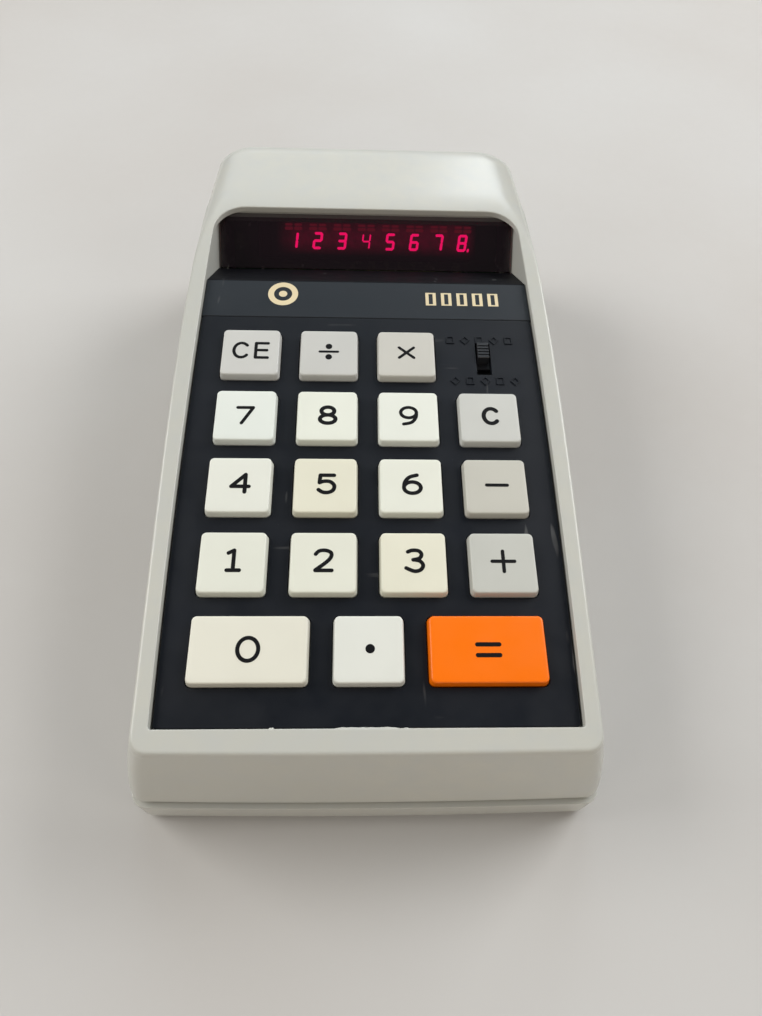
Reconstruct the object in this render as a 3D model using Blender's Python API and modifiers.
"""A pocket calculator with a wedge-shaped case, eighteen keys and a display under its rear hood.

The origin is the centre of the footprint on the table. +X is the user's right, -Y the front, +Z up.
The deck is the tilted top plane of the case. Points on it are given in the deck frame: x to the
right, s up the slope from the front crease, and h above the deck. All sizes are in metres.
"""

import math

import bmesh
import bpy
from mathutils import Matrix, Vector

# Outer form of the case
PARTING_Z = 0.0083
TOP_Z = 0.0406
HALF_WIDTH_PARTING = 0.0390
HALF_WIDTH_TOP = 0.0356
SIDE_SWELL = 1.65
SIDE_BOW_PARTING = 0.03
SIDE_BOW_TOP = 0.83
SIDE_BOW_GROWTH = 1.32
SIDE_BOW_CENTRE_Y = 0.0159
SIDE_LEVELS = (0.2, 0.4, 0.6, 0.8)
FRONT_PARTING_Y = -0.0708
FRONT_TOP_Y = -0.0653
REAR_PARTING_Y = 0.0713
REAR_TOP_Y = 0.0707
FRONT_BOW = 0.0005
FRONT_CORNER = 0.0026
REAR_CORNER = 0.0070
ROLL_WIDTH = 0.0065
ROLL_HEIGHT = 0.0028
ROLL_STEPS = 5
CASE_STEPS = (5, 10, 4)
WALL = 0.0022
REBATE_WALL = 0.0017
REBATE_Z = (0.0102, 0.0104)
CAVITY_ROLL = (0.0040, 0.0030)
ROOF = 0.0024

# Deck
DECK_TILT = math.radians(7.5)
DECK_FRONT = Vector((0.0, -0.0678, 0.0254))
DECK_THICKNESS = 0.0041
OPENING_HALF = 0.03345
OPENING_BOW = 0.28
OPENING_BOW_CENTRE = 0.055
OPENING_FRONT = 0.0034
OPENING_REAR = 0.1131
LIP_CORNER = 0.0065
LEDGE = 0.0016
VALLEY_FRONT = 0.0920
CHEEK_DEPTH = 0.0105
CHEEK_INNER_X = 0.0318
SMALL_CORNER = 0.0005
LIP_DEPTH = 0.0014
RECESS_DEPTH = 0.0028
KEY_WINDOW_DEPTH = 0.0060
VALLEY_DEPTH = 0.0140
OPENING_STEPS = (5, 8, 1)
CUT_OVERRUN = 0.0020

# Faceplate and display
PLATE_TOP = -0.0013
PLATE_THICKNESS = 0.0012
GAP = 0.0003
SEAM = 0.0835
APRON_TOP = 0.0933
WINDOW_FOOT = (0.1043, -0.0090)
WINDOW_HEAD = (0.1129, -0.00145)
WINDOW_HALF = 0.0322
WINDOW_OVERRUN = 0.0009
WINDOW_THICKNESS = 0.0015
WINDOW_POCKET = 0.0030
BEZEL_HALF = 0.0324
BEZEL_BEND = ((-0.0005, 0.0), (-0.00005, -0.0001), (0.0004, -0.0003))
BEZEL_FOOT_GAP = (-0.0004, 0.00015)
DISPLAY_BOARD = ((-0.0305, -0.0010, -0.0092), (0.0305, 0.0120, -0.0080))
DIGIT_MODULE = ((-0.0240, 0.0025, -0.0077), (0.0240, 0.0090, -0.0048))

# Keys
PITCH_X = 0.0150
ROWS = {1: 0.0735, 2: 0.0590, 3: 0.0445, 4: 0.0300, 5: 0.0154}
KEY_HALF_X = 0.00564
KEY_HALF_S = 0.00555
WIDE_KEY_HALF_X = 0.00940
KEY_RISE = 0.0015
KEY_TAPER = 0.00012
KEY_CORNER = 0.0010
KEY_EDGE = 0.00030
KEY_CLEARANCE = 0.00035
FLANGE_REACH = 0.0009
FLANGE_TOP = -0.0029
FLANGE_BOTTOM = -0.0036
FLANGE_STEP = 0.0001
WIDE_KEY_PITCHES = 1.255

# Mode switch
SLOT_CENTRE = (0.0227, 0.0736)
SLOT_SIZE = (0.0029, 0.0077)
MODE_KNOB_SIZE = (0.0022, 0.0037)
MODE_KNOB_RISE = 0.0007
MODE_TRAVEL = 0.0034
MODE_FLANGE_HALF = (0.0022, 0.0030)
MODE_GROOVE = (0.00055, 0.00072, 0.00030, 0.00025)
MODE_BODY = ((-0.0045, -0.0060, -0.0049), (0.0045, 0.0060, -0.0040))

# Keyboard stack below the faceplate
SHEET_TOP = -0.0053
SHEET_THICKNESS = 0.0003
DOME_RADIUS = 0.0036
DOME_RISE = 0.0004
BOARD_TOP = -0.0059
BOARD_THICKNESS = 0.0015
STACK_HALF_X = 0.0294
STACK_FRONT = 0.0085
STACK_REAR = 0.0815
DOME_TOP_SHARE = 0.55

# Lower case
UNDERSIDE_Z = 0.0008
FLOOR_Z = 0.0032
TRAY_WALL = 0.0020
BOARD_POST_SPOTS = [(x, y) for x in (-0.025, 0.025) for y in (-0.050, 0.001)]
BOARD_POST_RADIUS = 0.0020
PARTITION_HALF = 0.0300
LEDGE_Z = 0.0075
LEDGE_PROUD = 0.0008
LEDGE_EDGE = 0.0002
TRAY_EDGE = 0.0006
TRAY_DRAFT = 0.0001
LIP_TOP_Z = 0.0098
LIP_INSET = (0.0025, 0.0037)
STEP_Z = (0.0063, 0.0065)
ROOTED = 0.0005
COLUMN_SPOTS = [(x, y) for x in (-0.0325, 0.0325) for y in (-0.0590, 0.0050)]
COLUMN_RADIUS = 0.0029
BOSS_SLIM = 0.0002
BOSS_FOOT_Z = 0.0101
SCREW_RADIUS = 0.0013
SCREW_HEAD_RADIUS = 0.0023
SCREW_HEAD_Z = (0.0014, 0.0032)
SCREW_TIP_Z = 0.0165
SCREW_TIP_GAP = 0.0010
FEET = [(-0.0250, -0.0620), (0.0250, -0.0620), (-0.0347, 0.0580), (0.0347, 0.0580)]
FOOT_RADIUS = 0.0027
FOOT_TOP_Z = 0.0018

# Battery compartment
DOOR_HALF = 0.0300
DOOR_FRONT_Y = 0.0110
DOOR_TOP_Z = 0.0029
DOOR_WALL_TOP_Z = 0.0060
RAIL_REACH = 0.0008
RAIL_Z = (0.0016, 0.0022)
RAIL_REAR_Y = 0.0640
DOOR_WALL_INNER_Y = 0.0698
GRIP_FRONT_Y = 0.0570
GRIP_PITCH = 0.0016
GRIP_WIDTH = 0.0008
GRIP_DEPTH = 0.0006
GRIP_HALF = 0.0070
GRIP_COUNT = 5
CELL_RADIUS = 0.0071
CELL_PITCH = 0.0147
CELL_Z = 0.0109
CELL_LENGTH = 0.0493
NUB_RADIUS = 0.0027
NUB_LENGTH = 0.0010
CELL_FRONT_Y = 0.0149
PARTITION_Z = 0.0180
FRONT_PARTITION_Y = (0.0090, 0.0104)
REAR_PARTITION_Y = (0.0662, 0.0676)
CONTACT_THICKNESS = 0.0004
CONTACT_HALF = 0.0055
CONTACT_Z = (0.0066, 0.0165)
CONE_RADII = (0.0040, 0.0020)

# Boards inside
MAIN_BOARD_Z = (0.0101, 0.0116)
MAIN_BOARD_HALF = 0.0290
MAIN_BOARD_Y = (-0.0550, 0.0075)
CHIP_HEIGHT = 0.0038
CHIP_BEVEL = 0.0003
CHIPS = {
    "calculator_chip": ((-0.018, -0.047), (0.018, -0.033)),
    "digit_driver_chip": ((-0.024, -0.024), (-0.004, -0.0175)),
    "segment_driver_chip": ((0.004, -0.024), (0.024, -0.0175)),
}
COIL_SPOT = (0.0160, -0.0090)
COIL_RADIUS = 0.0050
COIL_HEIGHT = 0.0080
CAPACITOR_X = -0.0100
CAPACITOR_RADIUS = 0.0032
CAPACITOR_Y = (-0.0150, -0.0040)

# Leads, as routes in Y and Z
LEAD_THICKNESS = 0.0003
KEYBOARD_LEAD_START = 0.0660
KEYBOARD_LEAD_X = (-0.0240, -0.0040)
KEYBOARD_LEAD = [
    (0.0020, 0.0262),
    (0.0042, 0.0240),
    (0.0050, 0.0190),
    (0.0048, 0.0150),
    (0.0030, 0.0126),
]
KEYBOARD_LEAD_END = 0.0
DISPLAY_LEAD_X = (0.0020, 0.0220)
DISPLAY_LEAD = [
    (0.0420, 0.0240),
    (0.0380, 0.0215),
    (0.0320, 0.0202),
    (0.0150, 0.0198),
    (0.0098, 0.0196),
    (0.0076, 0.0182),
    (0.0070, 0.0150),
    (0.0056, 0.0127),
]
DISPLAY_LEAD_END = 0.0030
WIRE_RADIUS = 0.0006
WIRE_X = 0.0265
WIRE_DESCENT = [
    (0.0, 0.0172),
    (0.0, 0.0186),
    (-0.0008, 0.0196),
    (-0.0022, 0.0200),
    (-0.0036, 0.0196),
    (-0.0044, 0.0184),
    (-0.0047, 0.0160),
    (-0.0048, 0.0140),
]
WIRE_END = -0.0049

# Rear wall fittings
REAR_WALL_Y = 0.0709
REAR_CUT = 0.0090
REAR_FITTING_Z = 0.0270
POWER_X = -0.0180
POWER_TRAVEL = 0.0036
POWER_SLOT_HALF = (0.0045, 0.0017)
POWER_KNOB = ((-0.0022, -0.0030, -0.0013), (0.0022, 0.0008, 0.0013))
POWER_FLANGE = ((-0.0060, -0.0033, -0.0030), (0.0060, -0.0026, 0.0030))
POWER_GROOVE = (-0.0014, 0.0011, 0.0006, 0.0004)
POWER_BODY = ((-0.0090, -0.0100, -0.0040), (0.0090, -0.0036, 0.0040))
JACK_X = 0.0180
JACK_BORE = 0.00175
JACK_HOLE = 0.0035
JACK_COLLAR = 0.0031
JACK_BODY = ((-0.0042, -0.0130, -0.0042), (0.0042, -0.0026, 0.0042))
JACK_COLLAR_Y = (-0.0032, -0.0002)
JACK_BORE_Y = (-0.0120, 0.0040)

# Colours, roughness and metallic values
IVORY = ("ivory_plastic", (0.62, 0.61, 0.55), 0.42, 0.0)
BLACK = ("black_plate", (0.018, 0.021, 0.025), 0.38, 0.0)
RED_FILTER = ("red_filter", (0.05, 0.004, 0.010), 0.10, 0.0)
WHITE_KEY = ("white_key", (0.78, 0.77, 0.66), 0.38, 0.0)
GREY_KEY = ("grey_key", (0.58, 0.58, 0.53), 0.38, 0.0)
ORANGE_KEY = ("orange_key", (0.90, 0.20, 0.02), 0.38, 0.0)
BLACK_KNOB = ("black_knob", (0.02, 0.02, 0.025), 0.45, 0.0)
RUBBER = ("foot_rubber", (0.03, 0.03, 0.03), 0.80, 0.0)
BOARD = ("board_green", (0.05, 0.16, 0.07), 0.55, 0.0)
CHIP = ("chip_black", (0.03, 0.03, 0.03), 0.50, 0.0)
METAL = ("contact_metal", (0.70, 0.69, 0.66), 0.30, 1.0)
CELL = ("cell_jacket", (0.10, 0.12, 0.20), 0.35, 0.2)
COPPER = ("coil_copper", (0.60, 0.28, 0.12), 0.40, 0.8)
SHEET = ("click_sheet", (0.75, 0.73, 0.66), 0.50, 0.0)
RIBBON = ("ribbon_grey", (0.50, 0.50, 0.52), 0.50, 0.0)
RED_WIRE = ("red_wire", (0.45, 0.02, 0.02), 0.45, 0.0)
BLACK_WIRE = ("black_wire", (0.02, 0.02, 0.02), 0.45, 0.0)

DECK_MATRIX = Matrix.Translation(DECK_FRONT) @ Matrix.Rotation(DECK_TILT, 4, "X")
DECK_NORMAL = DECK_MATRIX.to_3x3() @ Vector((0.0, 0.0, 1.0))
SIDEWAYS_PROFILE = Matrix(((0, 0, 1, 0), (1, 0, 0, 0), (0, 1, 0, 0), (0, 0, 0, 1)))


def lerp(low, high, fraction):
    return low + (high - low) * fraction


def clear_scene():
    for obj in list(bpy.data.objects):
        bpy.data.objects.remove(obj, do_unlink=True)


def new_collection(name):
    collection = bpy.data.collections.new(name)
    bpy.context.scene.collection.children.link(collection)
    return collection


def material(finish):
    name, colour, roughness, metallic = finish
    found = bpy.data.materials.get(name)
    if found:
        return found
    made = bpy.data.materials.new(name)
    made.use_nodes = True
    shader = made.node_tree.nodes["Principled BSDF"]
    shader.inputs["Base Color"].default_value = (*colour, 1.0)
    shader.inputs["Roughness"].default_value = roughness
    shader.inputs["Metallic"].default_value = metallic
    made.diffuse_color = (*colour, 1.0)
    return made


clear_scene()
PARTS = new_collection("pocket_calculator")
CUTTERS = new_collection("cutters")
DECK = bpy.data.objects.new("deck", None)
DECK.matrix_world = DECK_MATRIX
PARTS.objects.link(DECK)


def place(obj, on_deck=False, location=(0.0, 0.0, 0.0)):
    """Puts an object in the world frame or, as the deck's child, in the deck frame."""
    if on_deck:
        obj.parent = DECK
    obj.location = location


def part(name, bm, finish, on_deck=False, location=(0.0, 0.0, 0.0), smooth_degrees=35):
    mesh = bpy.data.meshes.new(name)
    bmesh.ops.recalc_face_normals(bm, faces=bm.faces[:])
    bm.to_mesh(mesh)
    bm.free()
    mesh.materials.append(material(finish))
    mesh.shade_smooth()
    mesh.set_sharp_from_angle(angle=math.radians(smooth_degrees))
    obj = bpy.data.objects.new(name, mesh)
    PARTS.objects.link(obj)
    place(obj, on_deck, location)
    return obj


def cutter(name, bm, on_deck=False, location=(0.0, 0.0, 0.0)):
    mesh = bpy.data.meshes.new(name)
    bmesh.ops.recalc_face_normals(bm, faces=bm.faces[:])
    bm.to_mesh(mesh)
    bm.free()
    obj = bpy.data.objects.new(name, mesh)
    CUTTERS.objects.link(obj)
    obj.hide_render = True
    obj.display_type = "WIRE"
    place(obj, on_deck, location)
    return obj


def boolean(obj, other, operation="DIFFERENCE"):
    modifier = obj.modifiers.new(other.name, "BOOLEAN")
    modifier.operation = operation
    modifier.object = other
    modifier.solver = "EXACT"


def add_box(bm, low, high):
    size = [top - bottom for bottom, top in zip(low, high)]
    centre = [(top + bottom) / 2 for bottom, top in zip(low, high)]
    matrix = Matrix.Translation(centre) @ Matrix.Diagonal((*size, 1.0))
    return bmesh.ops.create_cube(bm, size=1.0, matrix=matrix)["verts"]


def box(low, high, bevel=0.0):
    bm = bmesh.new()
    add_box(bm, low, high)
    if bevel:
        bmesh.ops.bevel(bm, geom=bm.edges[:], offset=bevel, segments=2, profile=0.5, affect="EDGES")
    return bm


def add_cylinder(bm, centre, radius, low, high, axis="Z", segments=24, end_radius=None):
    """A cylinder or cone along an axis, from low to high on it. The centre is its place across it."""
    turn = {"Z": Matrix(), "Y": Matrix.Rotation(-math.pi / 2, 4, "X")}
    middle = (low + high) / 2
    spot = {"Z": (centre[0], centre[1], middle), "Y": (centre[0], middle, centre[1])}
    bmesh.ops.create_cone(
        bm,
        cap_ends=True,
        segments=segments,
        radius1=radius,
        radius2=radius if end_radius is None else end_radius,
        depth=high - low,
        matrix=Matrix.Translation(spot[axis]) @ turn[axis],
    )


def cylinder(centre, radius, low, high, axis="Z", segments=24):
    bm = bmesh.new()
    add_cylinder(bm, centre, radius, low, high, axis, segments)
    return bm


def rounded_rectangle(half_width, front, rear, corners, steps):
    """A rectangle with round corners, anticlockwise from the front right.

    corners holds the front and rear radii. steps holds the counts for a corner, a side and an end.
    """
    front_radius, rear_radius = corners
    corner_steps, side_steps, end_steps = steps
    arcs = [
        (half_width - front_radius, front + front_radius, front_radius, -90, side_steps),
        (half_width - rear_radius, rear - rear_radius, rear_radius, 0, end_steps),
        (-half_width + rear_radius, rear - rear_radius, rear_radius, 90, side_steps),
        (-half_width + front_radius, front + front_radius, front_radius, 180, end_steps),
    ]
    corner_points = []
    for x, y, radius, start, _ in arcs:
        angles = [math.radians(start + 90 * step / corner_steps) for step in range(corner_steps + 1)]
        corner_points.append([(x + radius * math.cos(a), y + radius * math.sin(a)) for a in angles])
    points = []
    for index, arc in enumerate(arcs):
        points.extend(corner_points[index])
        start = corner_points[index][-1]
        end = corner_points[(index + 1) % 4][0]
        for step in range(1, arc[4]):
            points.append((lerp(start[0], end[0], step / arc[4]), lerp(start[1], end[1], step / arc[4])))
    return points


def bow_sides(points, half_width, bow, centre):
    """Pulls the sides in away from the centre, by the bow times the distance squared."""
    return [(x * (1 - bow * (y - centre) ** 2 / half_width), y) for x, y in points]


def case_ring(z, inset, reach=0.0):
    """The case's outline at a height, pulled in by an inset. The ends are moved out by the reach."""
    rise = max(0.0, (z - PARTING_Z) / (TOP_Z - PARTING_Z))
    half = lerp(HALF_WIDTH_PARTING, HALF_WIDTH_TOP, rise**SIDE_SWELL) - inset
    front = lerp(FRONT_PARTING_Y, FRONT_TOP_Y, rise) + inset - reach
    rear = lerp(REAR_PARTING_Y, REAR_TOP_Y, rise) - inset + reach
    corners = (max(FRONT_CORNER - inset, 0.0008), max(REAR_CORNER - inset, 0.0012))
    points = rounded_rectangle(half, front, rear, corners, CASE_STEPS)
    bow = lerp(SIDE_BOW_PARTING, SIDE_BOW_TOP, rise**SIDE_BOW_GROWTH)
    points = bow_sides(points, half, bow, SIDE_BOW_CENTRE_Y)
    ring = []
    for x, y in points:
        if y < front + corners[0]:
            y -= FRONT_BOW * (1 - rise) * (1 - (x / half) ** 2)
        ring.append((x, y, z))
    return ring


def wall_rings(inset):
    """The rings of the swelling side walls between the parting line and the roof."""
    return [case_ring(lerp(PARTING_Z, TOP_Z, level), inset) for level in SIDE_LEVELS]


def opening_ring(h, inset, front, rear, corners):
    """The deck opening's outline at a height in the deck frame, pulled in by an inset."""
    half = OPENING_HALF - inset
    points = rounded_rectangle(half, front, rear, corners, OPENING_STEPS)
    return [(x, s, h) for x, s in bow_sides(points, half, OPENING_BOW, OPENING_BOW_CENTRE)]


def loft(rings):
    bm = bmesh.new()
    loops = [[bm.verts.new(point) for point in ring] for ring in rings]
    count = len(loops[0])
    for lower, upper in zip(loops, loops[1:]):
        for i in range(count):
            j = (i + 1) % count
            bm.faces.new((lower[i], lower[j], upper[j], upper[i]))
    bm.faces.new(loops[0][::-1])
    bm.faces.new(loops[-1])
    return bm


def slice_off_above(bm, point, normal):
    everything = bm.verts[:] + bm.edges[:] + bm.faces[:]
    result = bmesh.ops.bisect_plane(
        bm, geom=everything, dist=1e-7, plane_co=point, plane_no=normal, clear_outer=True
    )
    edges = [item for item in result["geom_cut"] if isinstance(item, bmesh.types.BMEdge)]
    bmesh.ops.contextual_create(bm, geom=edges)


def deck_point(x, s, h):
    return DECK_MATRIX @ Vector((x, s, h))


def profile_prism(name, outline, half_width, finish):
    """A profile in the deck's s and h directions, drawn out sideways."""
    curve = bpy.data.curves.new(name, "CURVE")
    curve.dimensions = "2D"
    curve.fill_mode = "BOTH"
    curve.extrude = half_width
    spline = curve.splines.new("POLY")
    spline.points.add(len(outline) - 1)
    for point, (s, h) in zip(spline.points, outline):
        point.co = (s, h, 0.0, 1.0)
    spline.use_cyclic_u = True
    curve.materials.append(material(finish))
    obj = bpy.data.objects.new(name, curve)
    PARTS.objects.link(obj)
    obj.parent = DECK
    obj.matrix_basis = SIDEWAYS_PROFILE
    return obj


def make_case_cavity():
    """The space inside the upper case, less the cheeks beside the display and the screw bosses."""
    bm = loft(
        [
            case_ring(PARTING_Z - CUT_OVERRUN, REBATE_WALL),
            case_ring(REBATE_Z[0], REBATE_WALL),
            case_ring(REBATE_Z[1], WALL),
            *wall_rings(WALL),
            case_ring(TOP_Z - ROOF - CAVITY_ROLL[1], WALL),
            case_ring(TOP_Z - ROOF, WALL + CAVITY_ROLL[0]),
        ]
    )
    slice_off_above(bm, deck_point(0, 0, -DECK_THICKNESS), DECK_NORMAL)
    cavity = cutter("case_cavity", bm)
    for side in (-1, 1):
        low, high = sorted((side * CHEEK_INNER_X, side * (HALF_WIDTH_PARTING + CUT_OVERRUN)))
        cheek = box(
            (low, VALLEY_FRONT - CUT_OVERRUN, -CHEEK_DEPTH),
            (high, OPENING_REAR + CUT_OVERRUN * 2, CUT_OVERRUN),
        )
        boolean(cavity, cutter(f"cheek_{'left' if side < 0 else 'right'}", cheek, on_deck=True))
    for number, spot in enumerate(COLUMN_SPOTS, 1):
        boss = cylinder(spot, COLUMN_RADIUS - BOSS_SLIM, BOSS_FOOT_Z, TOP_Z)
        boolean(cavity, cutter(f"boss_{number}", boss))
    return cavity


def window_pose():
    """The window's own frame in the deck frame: y up the window, z out of its face."""
    rise = math.atan2(WINDOW_HEAD[1] - WINDOW_FOOT[1], WINDOW_HEAD[0] - WINDOW_FOOT[0])
    return Matrix.Translation((0.0, *WINDOW_FOOT)) @ Matrix.Rotation(rise, 4, "X")


def window_length():
    return math.dist(WINDOW_FOOT, WINDOW_HEAD) + WINDOW_OVERRUN


def make_upper_case():
    rings = [case_ring(PARTING_Z, 0.0), *wall_rings(0.0), case_ring(TOP_Z - ROLL_HEIGHT, 0.0)]
    for step in range(1, ROLL_STEPS + 1):
        angle = math.radians(90 * step / ROLL_STEPS)
        z = TOP_Z - ROLL_HEIGHT * (1 - math.sin(angle))
        rings.append(case_ring(z, ROLL_WIDTH * (1 - math.cos(angle))))
    bm = loft(rings)
    slice_off_above(bm, deck_point(0, 0, 0), DECK_NORMAL)
    case = part("upper_case", bm, IVORY)
    boolean(case, make_case_cavity())

    overlap = FLANGE_STEP
    rear = OPENING_REAR + GAP
    openings = {
        "lip": (-LIP_DEPTH, CUT_OVERRUN, 0.0, OPENING_FRONT, OPENING_REAR, LIP_CORNER),
        "recess": (-RECESS_DEPTH, -LIP_DEPTH + overlap, 0.0, OPENING_FRONT, rear, SMALL_CORNER),
        "key_window": (
            -KEY_WINDOW_DEPTH,
            -RECESS_DEPTH + overlap,
            LEDGE,
            OPENING_FRONT + LEDGE,
            VALLEY_FRONT,
            SMALL_CORNER,
        ),
        "valley": (
            -VALLEY_DEPTH,
            -RECESS_DEPTH + overlap,
            0.0,
            VALLEY_FRONT - SMALL_CORNER,
            rear,
            SMALL_CORNER,
        ),
    }
    for name, (low, high, inset, front, back, corner) in openings.items():
        rings = [opening_ring(h, inset, front, back, (SMALL_CORNER, corner)) for h in (low, high)]
        boolean(case, cutter(name, loft(rings), on_deck=True))

    pocket = box(
        (-WINDOW_HALF - GAP, window_length() - WINDOW_POCKET, -WINDOW_THICKNESS - GAP),
        (WINDOW_HALF + GAP, window_length() + GAP, GAP),
    )
    window_pocket = cutter("window_pocket", pocket, on_deck=True)
    window_pocket.matrix_basis = window_pose()
    boolean(case, window_pocket)
    for number, spot in enumerate(COLUMN_SPOTS, 1):
        hole = cylinder(spot, SCREW_RADIUS + GAP, FLOOR_Z, SCREW_TIP_Z + SCREW_TIP_GAP, segments=16)
        boolean(case, cutter(f"boss_hole_{number}", hole))
    through = (REAR_WALL_Y - REAR_CUT, REAR_WALL_Y + REAR_CUT)
    slot_x, slot_z = POWER_SLOT_HALF
    slot = box(
        (POWER_X - slot_x, through[0], REAR_FITTING_Z - slot_z),
        (POWER_X + slot_x, through[1], REAR_FITTING_Z + slot_z),
    )
    boolean(case, cutter("power_slot", slot))
    jack_hole = cylinder((JACK_X, REAR_FITTING_Z), JACK_HOLE, *through, axis="Y")
    boolean(case, cutter("jack_hole", jack_hole))


def tray_foot():
    """The rounded foot of the lower case's outer wall."""
    return [
        case_ring(UNDERSIDE_Z, TRAY_EDGE, LEDGE_PROUD),
        case_ring(UNDERSIDE_Z + TRAY_EDGE * 0.3, TRAY_EDGE * 0.3, LEDGE_PROUD),
        case_ring(UNDERSIDE_Z + TRAY_EDGE, TRAY_DRAFT, LEDGE_PROUD),
    ]


def make_lower_case():
    outer = loft(
        [
            *tray_foot(),
            case_ring(LEDGE_Z - LEDGE_EDGE, 0.0, LEDGE_PROUD),
            case_ring(LEDGE_Z, LEDGE_EDGE, LEDGE_PROUD),
            case_ring(LEDGE_Z, LIP_INSET[0]),
            case_ring(LIP_TOP_Z, LIP_INSET[0]),
        ]
    )
    case = part("lower_case", outer, IVORY)
    space = loft(
        [
            case_ring(FLOOR_Z, TRAY_WALL),
            case_ring(STEP_Z[0], TRAY_WALL),
            case_ring(STEP_Z[1], LIP_INSET[1]),
            case_ring(LIP_TOP_Z + CUT_OVERRUN, LIP_INSET[1]),
        ]
    )
    boolean(case, cutter("tray_space", space))
    for number, spot in enumerate(COLUMN_SPOTS, 1):
        column = cylinder(spot, COLUMN_RADIUS, FLOOR_Z - ROOTED, LIP_TOP_Z)
        boolean(case, cutter(f"column_{number}", column), "UNION")
    for number, spot in enumerate(BOARD_POST_SPOTS, 1):
        post = cylinder(spot, BOARD_POST_RADIUS, FLOOR_Z - ROOTED, MAIN_BOARD_Z[0] - GAP, segments=16)
        boolean(case, cutter(f"board_post_{number}", post), "UNION")
    for name, (front, rear), foot in (
        ("front_partition", FRONT_PARTITION_Y, FLOOR_Z - ROOTED),
        ("rear_partition", REAR_PARTITION_Y, STEP_Z[0]),
    ):
        wall = box((-PARTITION_HALF, front, foot), (PARTITION_HALF, rear, PARTITION_Z))
        boolean(case, cutter(name, wall), "UNION")

    behind = REAR_WALL_Y + REAR_CUT
    doorway = box(
        (-DOOR_HALF - GAP, DOOR_FRONT_Y - GAP, -CUT_OVERRUN),
        (DOOR_HALF + GAP, behind, DOOR_WALL_TOP_Z + GAP),
    )
    boolean(case, cutter("doorway", doorway))
    reach = DOOR_HALF + RAIL_REACH + GAP
    groove = box((-reach, DOOR_FRONT_Y - GAP, RAIL_Z[0] - GAP), (reach, behind, RAIL_Z[1] + GAP))
    boolean(case, cutter("door_groove", groove))
    for number, spot in enumerate(COLUMN_SPOTS, 1):
        counterbore = bmesh.new()
        add_cylinder(counterbore, spot, SCREW_HEAD_RADIUS + GAP, -CUT_OVERRUN, SCREW_HEAD_Z[1] + GAP)
        boolean(case, cutter(f"counterbore_{number}", counterbore))
        hole = cylinder(spot, SCREW_RADIUS + GAP, SCREW_HEAD_Z[0], LIP_TOP_Z + CUT_OVERRUN, segments=16)
        boolean(case, cutter(f"screw_hole_{number}", hole))
    for number, spot in enumerate(FEET, 1):
        seat = cylinder(spot, FOOT_RADIUS + GAP, -CUT_OVERRUN, FOOT_TOP_Z + GAP)
        boolean(case, cutter(f"foot_seat_{number}", seat))


def make_battery_door():
    """The sliding door: a floor panel with side rails, and its stretch of the rear wall."""
    outline = loft([*tray_foot(), case_ring(DOOR_WALL_TOP_Z, 0.0, LEDGE_PROUD)])
    door = part("battery_door", outline, IVORY)
    keep = bmesh.new()
    behind = REAR_WALL_Y + REAR_CUT
    add_box(keep, (-DOOR_HALF, DOOR_FRONT_Y, -CUT_OVERRUN), (DOOR_HALF, behind, LIP_TOP_Z))
    boolean(door, cutter("door_width", keep), "INTERSECT")
    side = DOOR_HALF + CUT_OVERRUN
    inside = box((-side, DOOR_FRONT_Y - CUT_OVERRUN, DOOR_TOP_Z), (side, DOOR_WALL_INNER_Y, LIP_TOP_Z))
    boolean(door, cutter("door_inside", inside))
    reach = DOOR_HALF + RAIL_REACH
    rails = box((-reach, DOOR_FRONT_Y, RAIL_Z[0]), (reach, RAIL_REAR_Y, RAIL_Z[1]))
    boolean(door, cutter("door_rails", rails), "UNION")
    for number in range(GRIP_COUNT):
        y = GRIP_FRONT_Y + GRIP_PITCH * number
        groove = box((-GRIP_HALF, y, 0.0), (GRIP_HALF, y + GRIP_WIDTH, UNDERSIDE_Z + GRIP_DEPTH))
        boolean(door, cutter(f"grip_groove_{number + 1}", groove))


def key_outline(half_x, half_s, corner):
    return rounded_rectangle(half_x, -half_s, half_s, (corner, corner), (3, 1, 1))


def key_body(half_x):
    """A keycap about its own centre on the deck plane: a cap that tapers, on a flange."""
    top = PLATE_TOP + KEY_RISE
    levels = [
        (FLANGE_BOTTOM, FLANGE_REACH),
        (FLANGE_TOP, FLANGE_REACH),
        (FLANGE_TOP + FLANGE_STEP, 0.0),
        (PLATE_TOP, 0.0),
        (top - KEY_EDGE, -KEY_TAPER),
        (top - KEY_EDGE * 0.29, -KEY_TAPER - KEY_EDGE * 0.29),
        (top, -KEY_TAPER - KEY_EDGE),
    ]
    rings = []
    for h, reach in levels:
        outline = key_outline(half_x + reach, KEY_HALF_S + reach, KEY_CORNER)
        rings.append([(x, s, h) for x, s in outline])
    return loft(rings)


def key_layout():
    """Name, place and half width of each key, with its finish."""
    columns = [PITCH_X * (column - 1.5) for column in range(4)]
    names = {
        1: ["key_ce", "key_divide", "key_multiply"],
        2: ["key_7", "key_8", "key_9", "key_clear"],
        3: ["key_4", "key_5", "key_6", "key_minus"],
        4: ["key_1", "key_2", "key_3", "key_plus"],
    }
    grey = {"key_ce", "key_divide", "key_multiply", "key_clear", "key_minus", "key_plus"}
    layout = []
    for row, row_names in names.items():
        for x, name in zip(columns, row_names):
            layout.append((name, (x, ROWS[row]), KEY_HALF_X, GREY_KEY if name in grey else WHITE_KEY))
    wide_x = PITCH_X * WIDE_KEY_PITCHES
    layout.append(("key_0", (-wide_x, ROWS[5]), WIDE_KEY_HALF_X, WHITE_KEY))
    layout.append(("key_point", (0.0, ROWS[5]), KEY_HALF_X, WHITE_KEY))
    layout.append(("key_equals", (wide_x, ROWS[5]), WIDE_KEY_HALF_X, ORANGE_KEY))
    return layout


def make_keys():
    for name, (x, s), half_x, finish in key_layout():
        part(name, key_body(half_x), finish, on_deck=True, location=(x, s, 0.0))


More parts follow.
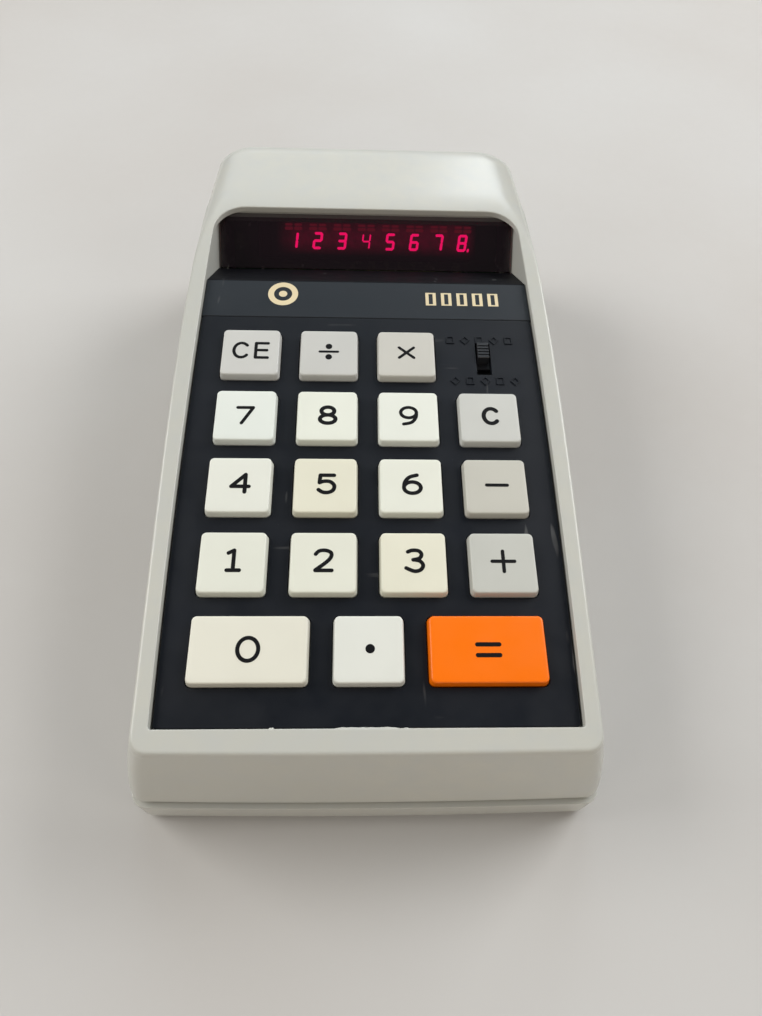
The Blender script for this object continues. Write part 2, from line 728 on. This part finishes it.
def make_key_plate():
    low, high = PLATE_TOP - PLATE_THICKNESS, PLATE_TOP
    corners = (SMALL_CORNER, SMALL_CORNER)
    rings = [opening_ring(h, GAP, OPENING_FRONT + GAP, SEAM - GAP, corners) for h in (low, high)]
    plate = part("key_plate", loft(rings), BLACK, on_deck=True)
    for name, (x, s), half_x, _ in key_layout():
        clear = KEY_CLEARANCE
        outline = key_outline(half_x + clear, KEY_HALF_S + clear, KEY_CORNER + clear)
        heights = (low - CUT_OVERRUN, high + CUT_OVERRUN)
        hole = loft([[(px, ps, h) for px, ps in outline] for h in heights])
        boolean(plate, cutter(f"hole_for_{name}", hole, on_deck=True, location=(x, s, 0.0)))
    half = [size / 2 for size in SLOT_SIZE]
    slot = box((-half[0], -half[1], low - CUT_OVERRUN), (half[0], half[1], high + CUT_OVERRUN))
    boolean(plate, cutter("mode_slot", slot, on_deck=True, location=(*SLOT_CENTRE, 0.0)))


def make_display_bezel():
    """The strip behind the keys and the apron that slopes down to the window's foot."""
    foot = (WINDOW_FOOT[0] + BEZEL_FOOT_GAP[0], WINDOW_FOOT[1] + BEZEL_FOOT_GAP[1])
    thick = PLATE_THICKNESS
    slope = math.atan2(foot[1] - PLATE_TOP, foot[0] - APRON_TOP)
    inward = (math.sin(slope) * thick, -math.cos(slope) * thick)
    bend = [(APRON_TOP + along, PLATE_TOP + up) for along, up in BEZEL_BEND]
    outline = [
        (SEAM + GAP, PLATE_TOP),
        *bend,
        foot,
        (foot[0] + inward[0], foot[1] + inward[1]),
        (APRON_TOP + inward[0], PLATE_TOP - thick),
        (SEAM + GAP, PLATE_TOP - thick),
    ]
    profile_prism("display_bezel", outline, BEZEL_HALF, BLACK)


def make_display_window():
    window = part(
        "display_window",
        box((-WINDOW_HALF, 0.0, -WINDOW_THICKNESS), (WINDOW_HALF, window_length(), 0.0)),
        RED_FILTER,
        on_deck=True,
    )
    window.matrix_basis = window_pose()


def make_mode_switch():
    """The ribbed knob at the rear end of its slot, over the shallow switch body."""
    half_x, half_s = (size / 2 for size in MODE_KNOB_SIZE)
    rest_s = SLOT_CENTRE[1] + MODE_TRAVEL / 2
    top = PLATE_TOP + MODE_KNOB_RISE
    knob = bmesh.new()
    rest = (SLOT_CENTRE[0], rest_s, 0.0)
    add_box(knob, (-half_x, -half_s, FLANGE_TOP - GAP), (half_x, half_s, top))
    obj = part("mode_switch_knob", knob, BLACK_KNOB, on_deck=True, location=rest)
    flange_x, flange_s = MODE_FLANGE_HALF
    flange = box((-flange_x, -flange_s, FLANGE_BOTTOM), (flange_x, flange_s, FLANGE_TOP))
    boolean(obj, cutter("mode_flange", flange, on_deck=True, location=rest), "UNION")
    first, pitch, width, depth = MODE_GROOVE
    for number in range(4):
        s = first + pitch * number - half_s
        groove = box((-2 * half_x, s, top - depth), (2 * half_x, s + width, top + CUT_OVERRUN))
        boolean(obj, cutter(f"mode_groove_{number + 1}", groove, on_deck=True, location=rest))
    body = box(*MODE_BODY, bevel=CHIP_BEVEL / 2)
    part("mode_switch_body", body, CHIP, on_deck=True, location=(*SLOT_CENTRE, 0.0))


def make_keyboard_stack():
    sheet = box(
        (-STACK_HALF_X, STACK_FRONT, SHEET_TOP - SHEET_THICKNESS),
        (STACK_HALF_X, STACK_REAR, SHEET_TOP),
    )
    obj = part("snap_dome_sheet", sheet, SHEET, on_deck=True)
    domes = bmesh.new()
    for _, (x, s), _, _ in key_layout():
        low = SHEET_TOP - SHEET_THICKNESS / 2
        high = SHEET_TOP + DOME_RISE
        top_radius = DOME_RADIUS * DOME_TOP_SHARE
        add_cylinder(domes, (x, s), DOME_RADIUS, low, high, segments=12, end_radius=top_radius)
    boolean(obj, cutter("domes", domes, on_deck=True), "UNION")
    board = box(
        (-STACK_HALF_X, STACK_FRONT, BOARD_TOP - BOARD_THICKNESS),
        (STACK_HALF_X, STACK_REAR, BOARD_TOP),
    )
    part("keyboard_board", board, BOARD, on_deck=True)


def make_display_module():
    """The display board, parallel to the window behind it, with its lens bar facing the window."""
    pose = window_pose()
    board = part("display_board", box(*DISPLAY_BOARD), BOARD, on_deck=True)
    board.matrix_basis = pose
    bar = part("digit_module", box(*DIGIT_MODULE, bevel=CHIP_BEVEL), CHIP, on_deck=True)
    bar.matrix_basis = pose


def make_main_electronics():
    low, high = MAIN_BOARD_Z
    front, rear = MAIN_BOARD_Y
    part("main_board", box((-MAIN_BOARD_HALF, front, low), (MAIN_BOARD_HALF, rear, high)), BOARD)
    seat = high + GAP
    for name, (near, far) in CHIPS.items():
        part(name, box((*near, seat), (*far, seat + CHIP_HEIGHT), bevel=CHIP_BEVEL), CHIP)
    part("converter_coil", cylinder(COIL_SPOT, COIL_RADIUS, seat, seat + COIL_HEIGHT), COPPER)
    centre = (CAPACITOR_X, seat + CAPACITOR_RADIUS)
    part("storage_capacitor", cylinder(centre, CAPACITOR_RADIUS, *CAPACITOR_Y, axis="Y"), CELL)


def flat_lead(name, route, low_x, high_x):
    """A flat flexible lead: its route in Y and Z, drawn out between two X values and thickened."""
    bm = bmesh.new()
    start = [bm.verts.new((low_x, y, z)) for y, z in route]
    edges = [bm.edges.new(pair) for pair in zip(start, start[1:])]
    bmesh.ops.extrude_edge_only(bm, edges=edges)
    for vert in bm.verts:
        if vert not in start:
            vert.co.x = high_x
    obj = part(name, bm, RIBBON)
    thickness = obj.modifiers.new("thickness", "SOLIDIFY")
    thickness.thickness = LEAD_THICKNESS
    thickness.offset = 0.0


def make_flat_leads():
    bottom = BOARD_TOP - BOARD_THICKNESS - GAP * 2
    upper = deck_point(0, KEYBOARD_LEAD_START, bottom)
    landing = MAIN_BOARD_Z[1] + GAP * 2
    keyboard_route = [(upper.y, upper.z), *KEYBOARD_LEAD, (KEYBOARD_LEAD_END, landing)]
    flat_lead("keyboard_ribbon", keyboard_route, *KEYBOARD_LEAD_X)
    flat_lead("display_ribbon", [*DISPLAY_LEAD, (DISPLAY_LEAD_END, landing)], *DISPLAY_LEAD_X)


def cell_x(number):
    return CELL_PITCH * (number - 2.5)


def make_battery():
    """Four cells side by side, every other one turned round, and the contacts at their ends."""
    for number in range(1, 5):
        centre = (cell_x(number), CELL_Z)
        body = bmesh.new()
        nub_first = number % 2 == 0
        start = CELL_FRONT_Y + (NUB_LENGTH if nub_first else 0.0)
        add_cylinder(body, centre, CELL_RADIUS, start, start + CELL_LENGTH, axis="Y")
        cell = part(f"battery_cell_{number}", body, CELL)
        nub_low = CELL_FRONT_Y if nub_first else CELL_FRONT_Y + CELL_LENGTH - ROOTED
        nub = cylinder(centre, NUB_RADIUS, nub_low, nub_low + NUB_LENGTH + ROOTED, axis="Y", segments=16)
        boolean(cell, cutter(f"nub_{number}", nub), "UNION")
    front = FRONT_PARTITION_Y[1] + GAP
    rear = REAR_PARTITION_Y[0] - GAP - CONTACT_THICKNESS
    contacts = {
        "contact_negative": ([1], front),
        "contact_front_link": ([2, 3], front),
        "contact_positive": ([4], front),
        "contact_rear_left": ([1, 2], rear),
        "contact_rear_right": ([3, 4], rear),
    }
    for name, (cells, y) in contacts.items():
        low_x = cell_x(cells[0]) - CONTACT_HALF
        high_x = cell_x(cells[-1]) + CONTACT_HALF
        plate = box((low_x, y, CONTACT_Z[0]), (high_x, y + CONTACT_THICKNESS, CONTACT_Z[1]))
        contact = part(name, plate, METAL)
        if y == front:
            for cell in cells:
                cone = bmesh.new()
                base, tip = CONE_RADII
                low = y + CONTACT_THICKNESS / 2
                high = CELL_FRONT_Y - GAP
                centre = (cell_x(cell), CELL_Z)
                add_cylinder(cone, centre, base, low, high, axis="Y", segments=16, end_radius=tip)
                boolean(contact, cutter(f"contact_cone_{cell}", cone), "UNION")


def wire(name, route, finish):
    curve = bpy.data.curves.new(name, "CURVE")
    curve.dimensions = "3D"
    curve.bevel_depth = WIRE_RADIUS
    curve.bevel_resolution = 2
    curve.use_fill_caps = True
    spline = curve.splines.new("POLY")
    spline.points.add(len(route) - 1)
    for point, place_on_route in zip(spline.points, route):
        point.co = (*place_on_route, 1.0)
    curve.materials.append(material(finish))
    PARTS.objects.link(bpy.data.objects.new(name, curve))


def make_battery_leads():
    """Wires from the end contacts over the partition and down to the main board."""
    start = FRONT_PARTITION_Y[1] + GAP * 2 + CONTACT_THICKNESS / 2
    descent = [*WIRE_DESCENT, (WIRE_END, MAIN_BOARD_Z[1] + GAP)]
    leads = (("battery_lead_negative", -WIRE_X, BLACK_WIRE), ("battery_lead_positive", WIRE_X, RED_WIRE))
    for name, x, finish in leads:
        wire(name, [(x, start + y, z) for y, z in descent], finish)


def make_power_switch():
    rest_x = POWER_X - POWER_TRAVEL / 2
    spot = (rest_x, REAR_WALL_Y, REAR_FITTING_Z)
    obj = part("power_switch_knob", box(*POWER_KNOB), BLACK_KNOB, location=spot)
    boolean(obj, cutter("power_flange", box(*POWER_FLANGE), location=spot), "UNION")
    first, pitch, width, depth = POWER_GROOVE
    low, high = POWER_KNOB
    for number in range(3):
        x = first + pitch * number
        groove = box((x, depth, 2 * low[2]), (x + width, REAR_CUT, 2 * high[2]))
        boolean(obj, cutter(f"power_groove_{number + 1}", groove, location=spot))
    body = box(*POWER_BODY, bevel=CHIP_BEVEL)
    part("power_switch_body", body, CHIP, location=(POWER_X, REAR_WALL_Y, REAR_FITTING_Z))


def make_adapter_jack():
    spot = (JACK_X, REAR_WALL_Y, REAR_FITTING_Z)
    jack = part("adapter_jack", box(*JACK_BODY, bevel=CHIP_BEVEL), CHIP, location=spot)
    collar = cylinder((0.0, 0.0), JACK_COLLAR, *JACK_COLLAR_Y, axis="Y")
    boolean(jack, cutter("jack_collar", collar, location=spot), "UNION")
    bore = cylinder((0.0, 0.0), JACK_BORE, *JACK_BORE_Y, axis="Y")
    boolean(jack, cutter("jack_bore", bore, location=spot))


def make_fasteners_and_feet():
    for number, spot in enumerate(COLUMN_SPOTS, 1):
        shank = cylinder(spot, SCREW_RADIUS, SCREW_HEAD_Z[1] - ROOTED, SCREW_TIP_Z, segments=12)
        screw = part(f"case_screw_{number}", shank, METAL)
        head = cylinder(spot, SCREW_HEAD_RADIUS, *SCREW_HEAD_Z)
        boolean(screw, cutter(f"screw_head_{number}", head), "UNION")
    for number, spot in enumerate(FEET, 1):
        part(f"foot_{number}", cylinder(spot, FOOT_RADIUS, 0.0, FOOT_TOP_Z), RUBBER)


make_upper_case()
make_lower_case()
make_battery_door()
make_key_plate()
make_display_bezel()
make_display_window()
make_keys()
make_mode_switch()
make_keyboard_stack()
make_display_module()
make_main_electronics()
make_flat_leads()
make_battery()
make_battery_leads()
make_power_switch()
make_adapter_jack()
make_fasteners_and_feet()
